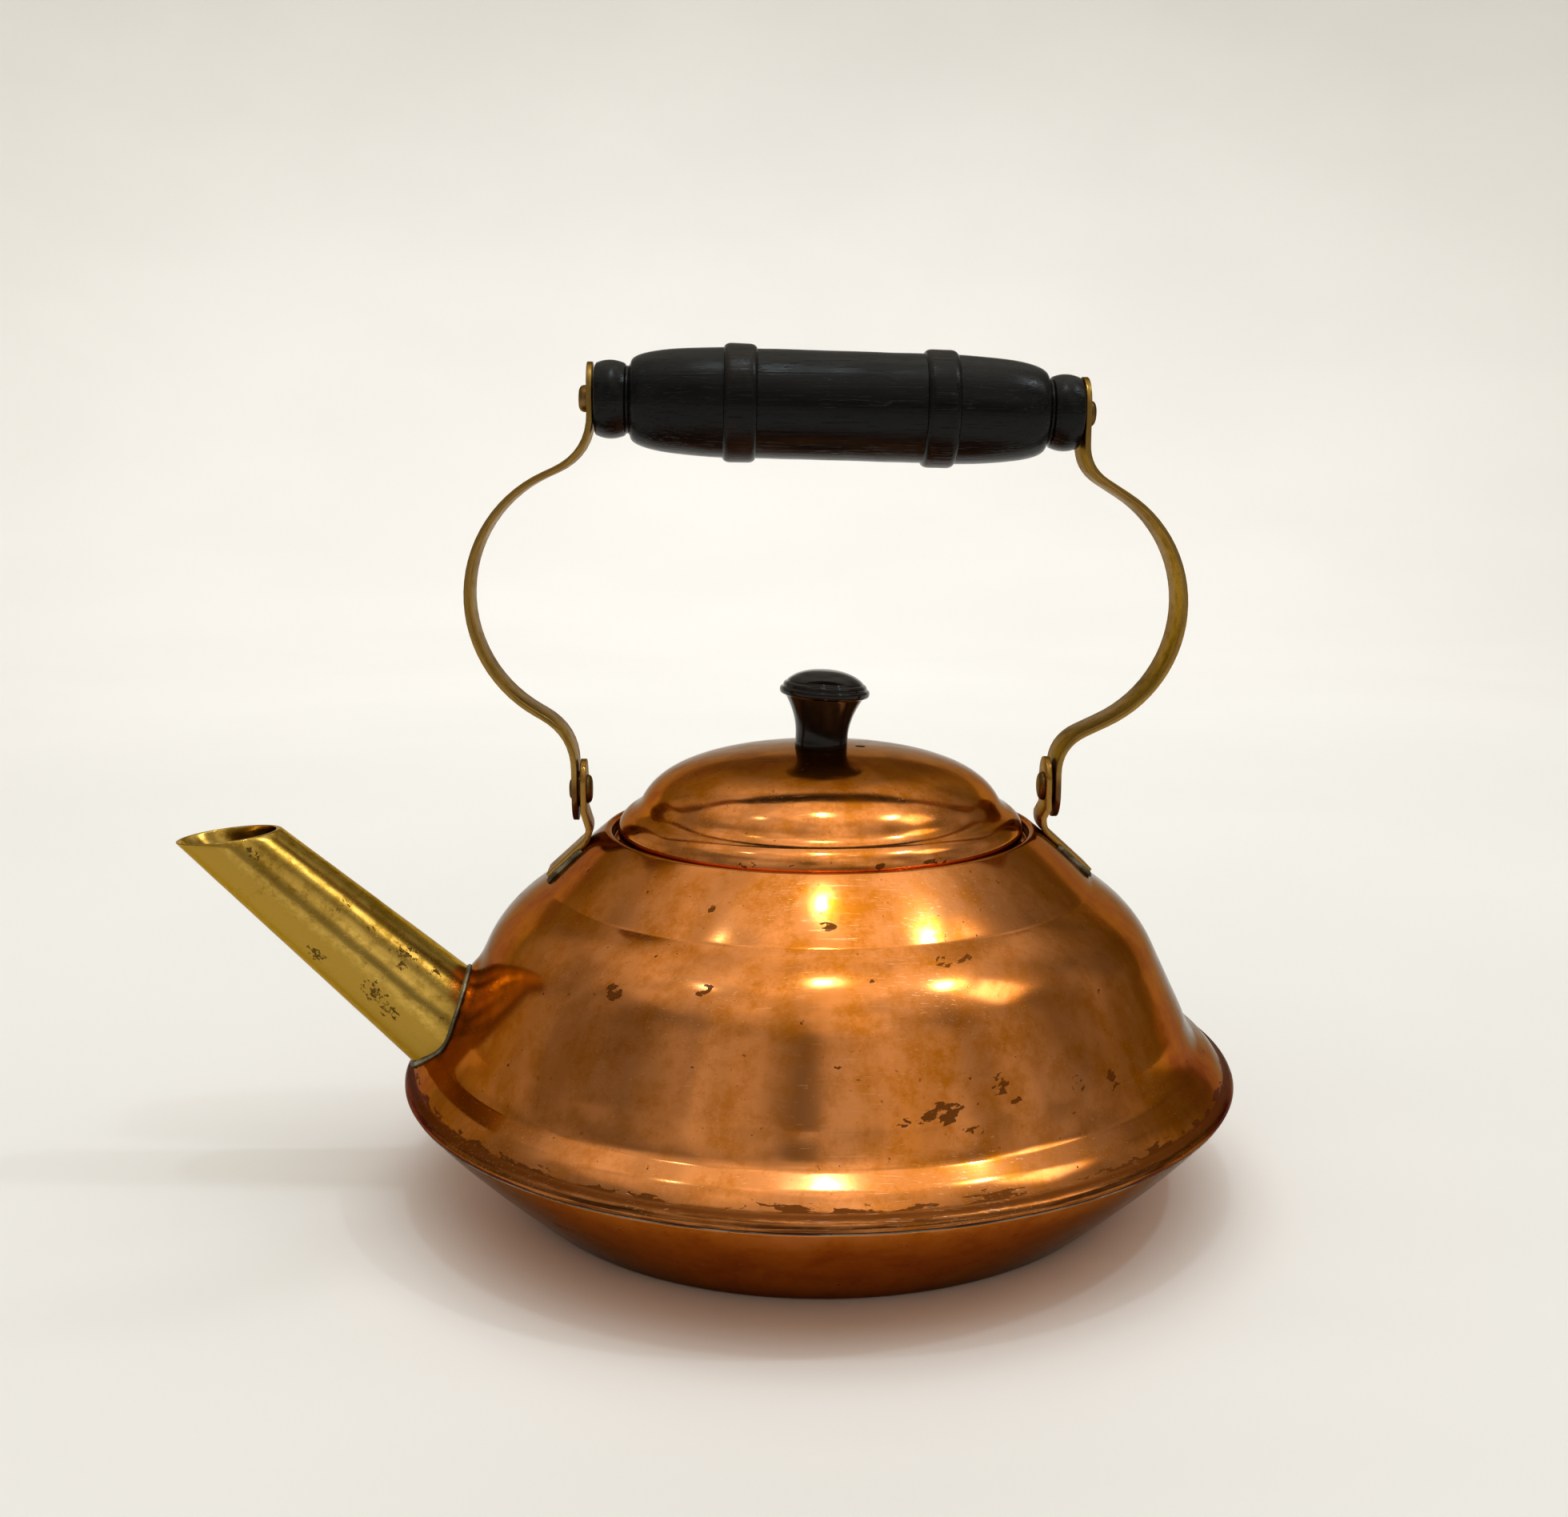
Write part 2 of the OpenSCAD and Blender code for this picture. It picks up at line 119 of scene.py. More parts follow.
def moved(path, d):
    """The path moved to its left by d."""
    def left(a, b):
        way = (Vector(b) - Vector(a)).normalized()
        return Vector((-way.y, way.x))
    out = []
    for i, p in enumerate(path):
        before = left(path[max(i, 1) - 1], path[max(i, 1)])
        j = min(i, len(path) - 2)
        m = before + left(path[j], path[j + 1])
        out.append(tuple(Vector(p) + 2 * d / m.length_squared * m))
    return out


def filled_in(path, step):
    """The path with points added so that none are further apart than step."""
    out = [path[0]]
    for a, b in zip(path, path[1:]):
        n = max(1, round(hypot(b[0] - a[0], b[1] - a[1]) / step))
        out += [tuple(p + (q - p) * i / n for p, q in zip(a, b)) for i in range(1, n + 1)]
    return out


def radius_at(path, z):
    """Radius of a rising path at height z."""
    for a, b in zip(path, path[1:]):
        if a[1] <= z <= b[1]:
            return a[0] + (b[0] - a[0]) * (z - a[1]) / max(b[1] - a[1], 1e-9)
    return path[0][0] if z < path[0][1] else path[-1][0]


# ---- Meshes ----

def new_object(name, data):
    obj = bpy.data.objects.new(name, data)
    bpy.context.scene.collection.objects.link(obj)
    return obj


def smooth_mesh(name, bm, materials):
    """Turns a bmesh into a smooth shaded mesh."""
    mesh = bpy.data.meshes.new(name)
    bmesh.ops.recalc_face_normals(bm, faces=bm.faces)
    bm.to_mesh(mesh)
    bm.free()
    mesh.polygons.foreach_set("use_smooth", [True] * len(mesh.polygons))
    for material in materials:
        mesh.materials.append(material)
    return mesh


def piece(name, bm, body, nodes, materials, sharp=CRISP):
    """Makes an object of a bmesh in millimetres, hangs it on its body and hides the CAD nodes it stands in
    for.
    """
    mesh = smooth_mesh(name, bm, materials)
    mesh.transform(Matrix.Scale(MM, 4))
    mesh.set_sharp_from_angle(angle=radians(sharp))
    mesh.update()
    obj = new_object(name, mesh)
    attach(obj, body)
    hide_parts(*nodes)


def grid(rows, closed, matrix=None, split=None):
    """Mesh of a grid of points: each row is a closed ring, or one point where it meets the axis.

    In a closed grid the last row joins the first. Faces from row number split on get the second
    material.
    """
    bm = bmesh.new()
    made = [[bm.verts.new(p) for p in row] for row in rows]
    pairs = list(zip(range(len(made)), range(1, len(made))))
    if closed:
        pairs.append((len(made) - 1, 0))
    for i, j in pairs:
        a, b = made[i], made[j]
        n = max(len(a), len(b))
        for k in range(n):
            m = (k + 1) % n
            corners = [a[k % len(a)], a[m % len(a)], b[m % len(b)], b[k % len(b)]]
            corners = list(dict.fromkeys(corners))
            if len(corners) > 2:
                face = bm.faces.new(corners)
                if split is not None and i >= split:
                    face.material_index = 1
    if matrix:
        bm.transform(matrix)
    return bm


def turned(path, n, wobble=None):
    """Rings of a path turned about Z. wobble gives a point's shift in radius."""
    rows = []
    for r, z in path:
        if r < 1e-6:
            rows.append([(0, 0, z)])
            continue
        row = []
        for k in range(n):
            a = 2 * pi * k / n
            d = wobble(r, z, a) if wobble else 0
            row.append(((r + d) * cos(a), (r + d) * sin(a), z))
        rows.append(row)
    return rows


def cut_hole(bm, gone, settle):
    """Cuts faces out of both skins of a sheet. settle moves each point of the edge into place."""
    bmesh.ops.delete(bm, geom=gone, context="FACES")
    bm.normal_update()
    edges = [e for e in bm.edges if len(e.link_faces) == 1]
    for v in {v for e in edges for v in e.verts}:
        v.co = settle(v.co)
    bmesh.ops.bridge_loops(bm, edges=edges)


def refined(node, body, material, bevel):
    """A smooth copy of a CAD node with its edges broken."""
    same_point, flat, edge = 0.002, radians(0.6), radians(35)
    bm = bmesh.new()
    bm.from_mesh(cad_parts[node].data)
    bmesh.ops.transform(bm, matrix=Matrix.Scale(1 / MM, 4), verts=bm.verts)
    bmesh.ops.remove_doubles(bm, verts=bm.verts, dist=same_point)
    bmesh.ops.dissolve_limit(bm, angle_limit=flat, verts=bm.verts, edges=bm.edges)
    edges = [e for e in bm.edges if len(e.link_faces) == 2 and e.calc_face_angle(0) > edge]
    bmesh.ops.bevel(bm, geom=edges, offset=bevel, segments=2, profile=0.6, affect="EDGES",
                    clamp_overlap=True)
    piece(node + "_fine", bm, body, [node], [material])


# ---- Materials ----

class Nodes:
    """A node tree, with short ways to add its nodes. Patterns follow place unless told otherwise."""

    def __init__(self, tree, coords):
        self.tree = tree
        self.coords = self.add("ShaderNodeTexCoord")
        self.place = self.coords.outputs[coords]

    def add(self, kind, **settings):
        node = self.tree.nodes.new(kind)
        for key, value in settings.items():
            setattr(node, key, value)
        return node

    def feed(self, socket, value):
        if isinstance(value, bpy.types.NodeSocket):
            self.tree.links.new(value, socket)
        elif value is not None:
            socket.default_value = value

    def math(self, op, a, b=None, clamp=False):
        node = self.add("ShaderNodeMath", operation=op, use_clamp=clamp)
        self.feed(node.inputs[0], a)
        self.feed(node.inputs[1], b)
        return node.outputs[0]

    def plus(self, a, b, clamp=False):
        return self.math("ADD", a, b, clamp)

    def minus(self, a, b):
        return self.math("SUBTRACT", a, b)

    def times(self, a, b):
        return self.math("MULTIPLY", a, b)

    def larger(self, a, b):
        return self.math("MAXIMUM", a, b)

    def amount(self, a):
        """The value without its sign."""
        return self.math("ABSOLUTE", a)

    def vector(self, op, a, b=None):
        node = self.add("ShaderNodeVectorMath", operation=op)
        self.feed(node.inputs[0], a)
        self.feed(node.inputs[1], b)
        return node.outputs["Value" if op in ("DOT_PRODUCT", "LENGTH") else "Vector"]

    def joined(self, x, y, z):
        node = self.add("ShaderNodeCombineXYZ")
        for socket, value in zip(node.inputs, (x, y, z)):
            self.feed(socket, value)
        return node.outputs[0]

    def parts(self, vector):
        node = self.add("ShaderNodeSeparateXYZ")
        self.feed(node.inputs[0], vector)
        return node.outputs[0], node.outputs[1], node.outputs[2]

    def stretched(self, x, y, z, turn=(0, 0, 0), vector=None):
        node = self.add("ShaderNodeMapping")
        self.feed(node.inputs["Vector"], vector or self.place)
        node.inputs["Rotation"].default_value = turn
        node.inputs["Scale"].default_value = (x, y, z)
        return node.outputs[0]

    def noise(self, scale, detail=4, rough=0.55, vector=None, bend=0.0):
        node = self.add("ShaderNodeTexNoise")
        self.feed(node.inputs["Vector"], vector or self.place)
        node.inputs["Scale"].default_value = scale
        node.inputs["Detail"].default_value = detail
        node.inputs["Roughness"].default_value = rough
        node.inputs["Distortion"].default_value = bend
        return node.outputs[0]

    def chips(self, vector, warp):
        """A random number from 0 to 1 for each cell of a ragged mosaic."""
        wander = self.add("ShaderNodeTexNoise")
        self.feed(wander.inputs["Vector"], vector)
        wander.inputs["Scale"].default_value = 1.7
        wander.inputs["Detail"].default_value = 4
        shift = self.vector("MULTIPLY", wander.outputs[1], (warp, warp, warp))
        cells = self.add("ShaderNodeTexVoronoi")
        self.feed(cells.inputs["Vector"], self.vector("ADD", vector, shift))
        cells.inputs["Scale"].default_value = 1
        return self.parts(cells.outputs["Color"])[0]

    def step(self, value, low, high, to_low=0.0, to_high=1.0):
        """Smooth step of a value from low to high."""
        node = self.add("ShaderNodeMapRange", interpolation_type="SMOOTHSTEP")
        self.feed(node.inputs["Value"], value)
        for key, number in (("From Min", low), ("From Max", high), ("To Min", to_low),
                            ("To Max", to_high)):
            node.inputs[key].default_value = number
        return node.outputs[0]

    def mixed(self, amount, a, b):
        node = self.add("ShaderNodeMix", data_type="RGBA")
        self.feed(node.inputs[0], amount)
        for socket, value in ((node.inputs[6], a), (node.inputs[7], b)):
            self.feed(socket, (*value, 1) if isinstance(value, tuple) else value)
        return node.outputs[2]

    def between(self, amount, a, b):
        node = self.add("ShaderNodeMix", data_type="FLOAT")
        self.feed(node.inputs[0], amount)
        self.feed(node.inputs[2], a)
        self.feed(node.inputs[3], b)
        return node.outputs[0]

    def bump(self, height, depth, under=None):
        node = self.add("ShaderNodeBump")
        node.inputs["Strength"].default_value = 1
        node.inputs["Distance"].default_value = depth
        self.feed(node.inputs["Height"], height)
        self.feed(node.inputs["Normal"], under)
        return node.outputs[0]

    def scratches(self, amount, turns, length=11, width=3200):
        """Fine straight scratches, one set for each turn, from 0 to 1."""
        total = None
        for i, turn in enumerate(turns):
            lines = self.noise(1, 2, 0.5, self.stretched(length, width, width, turn))
            patch = self.noise(40 + 11 * i, 2, 0.5)
            one = self.times(self.step(lines, 0.66 - amount, 0.70 - amount),
                             self.step(patch, 0.45, 0.62))
            total = one if total is None else self.larger(total, one)
        return total


class Look(Nodes):
    """A material and its shader."""

    def __init__(self, name):
        self.material = bpy.data.materials.new(name)
        self.material.use_nodes = True
        super().__init__(self.material.node_tree, "Object")
        self.shader = self.tree.nodes["Principled BSDF"]

    def finish(self, color, metal, rough, normal=None):
        color = (*color, 1) if isinstance(color, tuple) else color
        self.feed(self.shader.inputs["Base Color"], color)
        self.shader.inputs["Metallic"].default_value = metal
        self.feed(self.shader.inputs["Roughness"], rough)
        self.feed(self.shader.inputs["Normal"], normal)
        return self.material


SCRATCH_TURNS = [(0.3, 0.5, 0.9), (1.2, 0.2, 2.1), (0.7, 1.4, 0.1)]
UNROLLED_R = 0.085                 # radius at which the wall is unrolled for its patterns
BRIGHT_COPPER = (0.88, 0.330, 0.105)
DULL_COPPER = (0.60, 0.176, 0.009)
STAINED_COPPER = (0.36, 0.105, 0.010)
SHADED_SIDE_COPPER = (0.36, 0.100, 0.008)
SHADED_COPPER = (0.26, 0.072, 0.008)
FLOOR_SHADE_COPPER = (0.22, 0.062, 0.008)
BROWN_OXIDE = (0.17, 0.046, 0.005)
BEAD_GRIME = (0.125, 0.037, 0.007)
SCRATCHED_COPPER = (0.95, 0.55, 0.30)


def copper_flecks(look, wall, round_by, z, spots):
    """Flakes of worn finish, angular, longer than tall and rising to the right, and specks."""
    slanted = look.stretched(1, 1, 1, (0, radians(11), 0), wall)
    grit = look.noise(1, 8, 0.66, look.stretched(270, 1, 640, vector=slanted))
    chips = look.chips(look.stretched(320, 1, 900, vector=slanted), 1.2)
    torn = look.plus(look.times(chips, 0.38), look.times(grit, 0.66))
    places = look.step(look.noise(19, 3, 0.5), 0.66, 0.80, 0.0, 0.55)
    for angle, height, wide, tall in spots:
        off = look.minus(round_by, radians(angle))
        across = look.math("DIVIDE", look.times(off, UNROLLED_R), wide * MM)
        up = look.math("DIVIDE", look.minus(z, height * MM), tall * MM)
        far = look.plus(look.vector("LENGTH", look.joined(across, up, 0.0)),
                        look.times(look.minus(grit, 0.5), 1.6))
        places = look.larger(places, look.step(far, 0.35, 1.15, 1.0, 0.0))
    level = look.minus(0.82, look.times(places, 0.30))
    flakes = look.step(look.minus(torn, level), 0.0, 0.010)
    lone = look.step(look.noise(1, 2, 0.5, look.stretched(360, 1, 520, vector=wall)), 0.735, 0.75)
    specks = look.times(look.step(look.noise(800, 2, 0.5), 0.715, 0.735), 0.6)
    return look.larger(flakes, look.larger(lone, specks))


def worn_rim(look, wall, above):
    """Chips and a dark line along the crease above the rim, and the grimy bead below it."""
    ragged = look.noise(1, 7, 0.75, look.stretched(170, 1, 900, vector=wall))
    edge_chips = look.chips(look.stretched(300, 1, 1250, vector=wall), 0.9)
    patchy = look.noise(1, 2, 0.5, look.stretched(34, 1, 1, vector=wall))
    near = look.times(look.step(above, 0.0001, 0.0022, 1.0, 0.0), look.step(patchy, 0.34, 0.60, 0.45, 1.0))
    torn = look.plus(look.times(edge_chips, 0.34), look.times(ragged, 0.72))
    level = look.minus(0.78, look.times(near, 0.34))
    edge = look.step(look.minus(torn, level), 0.0, 0.012)
    edge = look.times(edge, look.step(above, -0.0002, 0.0, 0.0, 1.0))
    off_crease = look.amount(look.plus(above, look.times(ragged, 0.0008)))
    line = look.step(off_crease, 0.0003, 0.0008, 0.95, 0.0)
    bead = look.times(look.step(above, -0.0036, -0.0030), look.step(above, -0.0006, 0.0, 1.0, 0.0))
    return look.larger(edge, line), bead


def copper(name, spots, band, foot=0.0, shade=0.0):
    """Old polished copper with clouds, worn flecks and fine scratches.

    spots are patches of flecks as (angle, height, width, tall), in degrees and millimetres.
    band is the height of a worn edge, foot is the height below which it is painted darker, as a
    painted shade towards the floor, and shade is how much darker all of it is.
    """
    look = Look(name)
    x, y, z = look.parts(look.place)
    round_by = look.math("ARCTAN2", y, x)
    wall = look.joined(look.times(round_by, UNROLLED_R), 0.0, z)

    clouds = look.noise(21, 6, 0.62, bend=0.8)
    smears = look.noise(1, 4, 0.6, look.stretched(60, 1, 13, vector=wall))
    mottle = look.noise(150, 7, 0.75)
    dull = look.times(look.step(clouds, 0.40, 0.66), 0.55)
    dull = look.plus(dull, look.times(look.step(smears, 0.48, 0.72), 0.30))
    dull = look.plus(dull, look.step(mottle, 0.42, 0.66, 0.0, 0.55), clamp=True)
    color = look.mixed(dull, BRIGHT_COPPER, DULL_COPPER)
    stains = look.times(look.step(look.noise(95, 5, 0.7), 0.56, 0.72), look.step(clouds, 0.42, 0.6))
    color = look.mixed(look.times(stains, 0.40), color, STAINED_COPPER)
    if band:
        # painted shade: darker at the ends of the bail, to the left and right as seen from the front, than
        # in front and behind
        sides = look.amount(look.math("COSINE", round_by))
        sides = look.plus(sides, look.times(look.minus(clouds, 0.5), 0.8))
        color = look.mixed(look.step(sides, 0.35, 0.95, 0.0, 0.40), color, SHADED_SIDE_COPPER)
    color = look.mixed(shade, color, SHADED_COPPER)

    flecks = copper_flecks(look, wall, round_by, z, spots)
    if band:
        worn, bead = worn_rim(look, wall, look.minus(z, band * MM))
        flecks = look.larger(flecks, worn)
        streaks = look.noise(1, 5, 0.7, look.stretched(60, 1, 1500, vector=wall))
        grime = look.times(bead, look.step(streaks, 0.44, 0.60, 0.62, 1.0))
        color = look.mixed(grime, color, BEAD_GRIME)
    if foot:
        # painted shade: darker towards the bottom, where the pan nears the floor
        height = look.plus(z, look.times(clouds, 0.008))
        color = look.mixed(look.step(height, 0.001, foot * MM, 0.70, 0.0), color, FLOOR_SHADE_COPPER)
    color = look.mixed(look.times(flecks, 0.94), color, BROWN_OXIDE)
    lines = look.scratches(0.0, SCRATCH_TURNS)
    color = look.mixed(look.times(lines, 0.34), color, SCRATCHED_COPPER)

    rough = look.between(dull, 0.085, 0.15)
    rough = look.plus(rough, look.times(mottle, 0.07))
    rough = look.plus(rough, look.times(lines, 0.10))
    rough = look.between(flecks, rough, 0.5)
    if band:
        rough = look.plus(rough, look.times(bead, 0.05))
    spun = look.noise(1, 3, 0.6, look.joined(look.times(round_by, 0.8), 0.0, look.times(z, 2600.0)))
    waves = look.bump(look.noise(30, 2, 0.5), 0.0006)
    fine = look.bump(spun, 0.000003, waves)
    pits = look.bump(look.minus(1.0, flecks), 0.000004, fine)
    look.shader.inputs["Specular Tint"].default_value = (0.32, 0.28, 0.21, 1)
    look.shader.inputs["Coat Weight"].default_value = 0.07
    look.shader.inputs["Coat Roughness"].default_value = 0.09
    return look.finish(color, 1.0, rough, pits)


PIT_BROWN = (0.09, 0.048, 0.014)
LOW_SHADE_BRASS = (0.11, 0.042, 0.014)


def brass(name, bright, dull, pitted, rough_low, rough_high, along=None, spots=(), worn_edges=False,
          dark_below=None):
    """Brass with tarnish, dark pits and streaks along its length.

    along is the piece's own side, across and length directions. spots are groups of pits as
    (distance along it, angle round it, size), in millimetres and degrees. Below the height
    dark_below it is painted darker, a painted shade.
    """
    look = Look(name)
    vector = look.place
    if along:
        own = look.vector("SUBTRACT", look.place, tuple(SPOUT_AT * MM))
        vector = look.joined(*(look.vector("DOT_PRODUCT", own, tuple(axis)) for axis in along))
    tarnish = look.step(look.noise(42, 6, 0.65, vector, bend=0.4), 0.36, 0.64)
    streaks = look.noise(1, 4, 0.6, look.stretched(700, 700, 16, vector=vector))
    soft = look.noise(1, 3, 0.5, look.stretched(150, 150, 9, vector=vector))
    speckle = look.noise(420, 5, 0.75, vector)
    dirt_and_reflection = look.times(tarnish, 0.55)
    dirt_and_reflection = look.plus(dirt_and_reflection, look.times(look.step(soft, 0.48, 0.7), 0.35))
    dirt_and_reflection = look.plus(dirt_and_reflection, look.step(speckle, 0.45, 0.66, 0.0, 0.45), clamp=True)
    grit = look.noise(1, 6, 0.7, look.stretched(820, 820, 620, vector=vector))
    places = look.step(look.noise(48, 3, 0.5, vector), 0.55, 0.72, 0.0, 0.7)
    if along:
        side, across, length = look.parts(vector)
        angle = look.math("ARCTAN2", across, side)
        for far, turn, size in spots:
            off = look.times(look.minus(angle, radians(turn)), 11.5 / size)
            on = look.math("DIVIDE", look.minus(length, far * MM), 1.2 * size * MM)
            spot = look.step(look.vector("LENGTH", look.joined(off, on, 0.0)), 0.3, 1.0, 1.0, 0.0)
            places = look.larger(places, spot)
        # painted dark reflection: a darker band along the lower front side of the spout
        under = look.amount(look.plus(angle, radians(118)))
        under = look.plus(under, look.times(grit, 0.5))
        dirt_and_reflection = look.larger(dirt_and_reflection, look.step(under, 0.55, 1.0, 0.85, 0.0))
        # darker close to the root, where the spout meets the wall
        from_root = look.plus(length, look.times(grit, 0.006))
        dirt_and_reflection = look.larger(dirt_and_reflection, look.step(from_root, 0.004, 0.016, 0.75, 0.0))
    if worn_edges:
        face = look.amount(look.parts(look.coords.outputs["Normal"])[1])
        dirt_and_reflection = look.times(dirt_and_reflection, look.step(face, 0.35, 0.9, 1.0, 0.3))
    color = look.mixed(dirt_and_reflection, bright, dull)
    level = look.minus(0.79 - pitted, look.times(places, 0.225))
    pits = look.step(look.minus(grit, level), 0.0, 0.018)
    color = look.mixed(look.times(pits, 0.85), color, PIT_BROWN)
    color = look.mixed(look.step(streaks, 0.60, 0.78, 0.0, 0.35), color, dull)
    if dark_below:
        # painted shade: darker at the strap's lower end, below the height dark_below
        low = look.plus(look.parts(look.place)[2], look.times(tarnish, 0.002))
        low = look.step(low, (dark_below - 2) * MM, (dark_below + 2) * MM, 0.88, 0.0)
        color = look.mixed(low, color, LOW_SHADE_BRASS)
    lines = look.scratches(0.0, SCRATCH_TURNS[:2])
    rough = look.between(dirt_and_reflection, rough_low, rough_high)
    rough = look.plus(rough, look.times(streaks, 0.08))
    rough = look.between(look.larger(pits, look.times(lines, 0.4)), rough, 0.55)
    waves = look.bump(look.noise(60, 2, 0.5, vector), 0.0003)
    fine = look.bump(streaks, 0.000012, waves)
    look.shader.inputs["Specular Tint"].default_value = (0.55, 0.46, 0.34, 1)
    sunk = look.bump(look.minus(1.0, pits), 0.00003, fine)
    return look.finish(color, 1.0, rough, sunk)


def plain_metal(name, clean, dirty, size, rough_low, rough_high, lumps):
    """Solder, tin or steel: mottled, with small lumps."""
    look = Look(name)
    mottle = look.step(look.noise(size, 6, 0.65), 0.38, 0.62)
    spots = look.step(look.noise(size * 7, 3, 0.6), 0.60, 0.72)
    color = look.mixed(mottle, clean, dirty)
    color = look.mixed(look.times(spots, 0.5), color, tuple(0.4 * c for c in dirty))
    rough = look.between(mottle, rough_low, rough_high)
    return look.finish(color, 0.9, rough, look.bump(look.noise(size * 4, 4, 0.6), lumps))


PAINT_BLACK, WORN_BLACK = (0.0014, 0.0016, 0.0019), (0.0036, 0.0038, 0.0044)
RUBBED_BROWN = (0.014, 0.007, 0.004)


def black_wood():
    """Black painted wood with its grain along the grip, rubbed brown on the rings."""
    look = Look("black_wood")
    x, y, z = look.parts(look.place)
    lift = look.minus(z, (HINGE_Z + GRIP_RISE) * MM)
    local_z = look.plus(lift, look.times(x, tan(GRIP_TILT)))
    from_axis = look.vector("LENGTH", look.joined(0.0, y, local_z))
    grain = look.noise(1, 3, 0.6, look.stretched(38, 2400, 2400), bend=0.1)
    broad = look.noise(1, 4, 0.55, look.stretched(16, 420, 420))
    pores = look.step(look.noise(1, 2, 0.5, look.stretched(130, 3200, 3200)), 0.60, 0.70)
    rubbed = look.times(look.step(from_axis, (GRIP_R + 0.15) * MM, RING_R * MM),
                        look.step(look.noise(70, 4, 0.6), 0.42, 0.6))
    worn = look.step(look.noise(1, 6, 0.72, look.stretched(60, 300, 300)), 0.60, 0.70, 0.0, 0.5)
    worn = look.larger(worn, look.times(rubbed, 0.65))
    color = look.mixed(look.step(broad, 0.35, 0.7), PAINT_BLACK, WORN_BLACK)
    color = look.mixed(look.times(worn, 0.8), color, RUBBED_BROWN)
    color = look.mixed(look.step(grain, 0.60, 0.74, 0.0, 0.5), color, (0.008, 0.007, 0.007))
    color = look.mixed(pores, color, (0.0015, 0.0013, 0.0012))
    rough = look.plus(0.11, look.times(grain, 0.20))
    rough = look.plus(rough, look.times(look.larger(worn, pores), 0.14))
    height = look.plus(look.times(grain, 0.45), look.times(broad, 0.8))
    height = look.minus(height, look.times(pores, 0.4))
    look.shader.inputs["Specular IOR Level"].default_value = 0.16
    return look.finish(color, 0.0, rough, look.bump(height, 0.00012))


def knob_black():
    """Glossy black knob with faint turning lines and dust-fine scratches."""
    look = Look("knob_black")
    lines = look.scratches(-0.01, SCRATCH_TURNS[:1], 30, 1600)
    turning = look.noise(1, 2, 0.5, look.stretched(30, 30, 2400))
    haze = look.step(look.noise(140, 4, 0.6), 0.4, 0.7)
    color = look.mixed(haze, (0.0045, 0.0028, 0.0024), (0.010, 0.0062, 0.005))
    rough = look.plus(look.between(haze, 0.13, 0.21), look.times(lines, 0.15))
    look.shader.inputs["Coat Weight"].default_value = 0.12
    look.shader.inputs["Coat Roughness"].default_value = 0.04
    look.shader.inputs["Specular IOR Level"].default_value = 0.18
    return look.finish(color, 0.0, rough, look.bump(turning, 0.00001))


# Patches of flecks as (angle, height, width, tall), in degrees and millimetres
BODY_SPOTS = [(-78, 44, 10, 3.5), (-68, 48, 3.5, 4.5), (-66, 44, 2, 1.5), (-73, 40, 3, 1.5),
              (-83, 42, 4, 1), (-55, 44, 3.5, 2.5), (-48, 43, 2.5, 3.5), (-70, 69, 8, 1.5),
              (-112, 65, 3.5, 2), (-127, 62, 3.5, 2), (-92, 75, 4, 1), (-116, 77, 2, 1.5),
              (38, 45, 9, 3), (120, 40, 8, 4), (160, 60, 6, 3)]
PAN_SPOTS = [(-130, 14, 5, 1.5), (20, 12, 8, 2)]
LID_SPOTS = [(-112, 84, 6, 1.2), (-100, 84, 5, 1.2), (-78, 84, 3, 1), (-62, 84, 9, 1), (60, 84, 8, 1.2)]
# Groups of pits as (distance along the spout, angle round it, size), in millimetres and degrees
SPOUT_PITS = [(20, -50, 5.5), (13, -45, 2.5), (38, -45, 2.5), (38, -60, 2.5), (20, -105, 5), (15, -110, 4),
              (35, -120, 3.5), (60, -70, 2.5), (30, -50, 2), (28, 70, 5), (12, 150, 6), (46, 170, 4)]

shell_copper = copper("body_copper", BODY_SPOTS, RIM_CREASE[1] + 0.2)
pan_copper = copper("pan_copper", PAN_SPOTS, None, 11.0, 0.12)
lid_copper = copper("lid_copper", LID_SPOTS, None)
tinned = plain_metal("tinned", (0.50, 0.48, 0.44), (0.30, 0.27, 0.23), 30, 0.30, 0.48, 0.0001)
solder = plain_metal("solder", (0.30, 0.28, 0.20), (0.12, 0.115, 0.07), 150, 0.38, 0.6, 0.0002)
dark_solder = plain_metal("dark_solder", (0.20, 0.17, 0.13), (0.07, 0.055, 0.04), 90, 0.45, 0.6, 0.0001)
steel = plain_metal("steel", (0.52, 0.51, 0.50), (0.38, 0.36, 0.34), 60, 0.25, 0.4, 0.00003)
spout_brass = brass("spout_brass", (0.80, 0.52, 0.115), (0.33, 0.19, 0.022), 0.05, 0.10, 0.22,
                    (SPOUT_SIDE, SPOUT_ACROSS, SPOUT_AXIS), SPOUT_PITS)
strap_brass = brass("strap_brass", (0.34, 0.200, 0.050), (0.15, 0.082, 0.018), 0.03, 0.22, 0.38,
                    worn_edges=True, dark_below=HINGE_Z + 3.3)
lug_brass = brass("lug_brass", (0.38, 0.200, 0.045), (0.18, 0.088, 0.018), 0.05, 0.22, 0.38,
                  worn_edges=True)
dark_brass = brass("dark_brass", (0.22, 0.125, 0.042), (0.085, 0.048, 0.018), 0.06, 0.30, 0.46)
wood = black_wood()
bakelite = knob_black()

# ---- Body ----

wall_low = curve(RIM_CREASE, (92.8, 31.6), (91.3, 32.85), 8)
wall_low += curve((91.3, 32.85), (89.9, 33.9), (88.3, 35.15), 10)[1:]
wall_low += curve((88.3, 35.15), (86.6, 36.75), WALL_LOW, 22)[1:]
wall_high = curve(WALL_TOP, (73.4, 65.8), (STEP_R, STEP_Z), 26)
wall = wall_low + wall_high
wall_from = [(RIM_CREASE[0] + 4, RIM_CREASE[1] - 9)] + wall      # runs on below the crease

